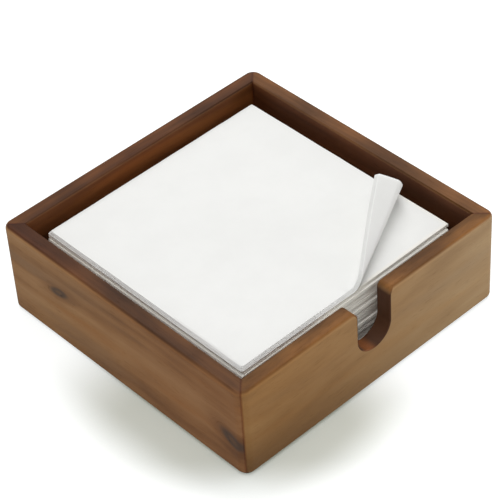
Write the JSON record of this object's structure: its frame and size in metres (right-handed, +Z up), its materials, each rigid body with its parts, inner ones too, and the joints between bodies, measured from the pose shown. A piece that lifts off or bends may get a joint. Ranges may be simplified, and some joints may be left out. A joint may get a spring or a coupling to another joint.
{
  "type": "napkin holder",
  "caption": "Square open-topped wooden tray that holds a stack of folded napkins, with a round-bottomed finger notch in one wall to reach them.",
  "frame": {"origin": "on the table, under the middle of the tray", "axes": "+X along the notched front wall to its right end, -Y out through the finger notch, +Z up"},
  "size_m": [0.2032, 0.2032, 0.0916],
  "materials": {
    "stained_wood": "satin",
    "plain_wood": "matte",
    "paper": "matte",
    "felt": "matte"
  },
  "bodies": {
    "tray": {"front_wall": "stained_wood", "right_wall": "stained_wood", "back_wall": "stained_wood", "left_wall": "stained_wood", "base_panel": "stained_wood", "corner_tongue_front_left": "plain_wood", "corner_tongue_front_right": "plain_wood", "corner_tongue_back_right": "plain_wood", "corner_tongue_back_left": "plain_wood", "felt_pad_front_left": "felt", "felt_pad_front_right": "felt", "felt_pad_back_right": "felt", "felt_pad_back_left": "felt"},
    "napkin_stack": {"napkin_01": "paper", "napkin_02": "paper", "napkin_03": "paper", "napkin_04": "paper", "napkin_05": "paper", "napkin_06": "paper", "napkin_07": "paper", "napkin_08": "paper", "napkin_09": "paper", "napkin_10": "paper", "napkin_11": "paper", "napkin_12": "paper", "napkin_13": "paper", "napkin_14": "paper", "napkin_15": "paper", "napkin_16": "paper", "napkin_17": "paper", "napkin_18": "paper", "napkin_19": "paper"},
    "top_napkin": {"top_napkin": "paper"}
  },
  "joints": [
    {"name": "stack_lift", "type": "slide", "parent": "tray", "child": "napkin_stack", "axis": [0, 0, 1], "range_m": [0, 0.08]},
    {"name": "top_napkin_lift", "type": "slide", "parent": "napkin_stack", "child": "top_napkin", "axis": [0, 0, 1], "range_m": [0, 0.08]}
  ]
}
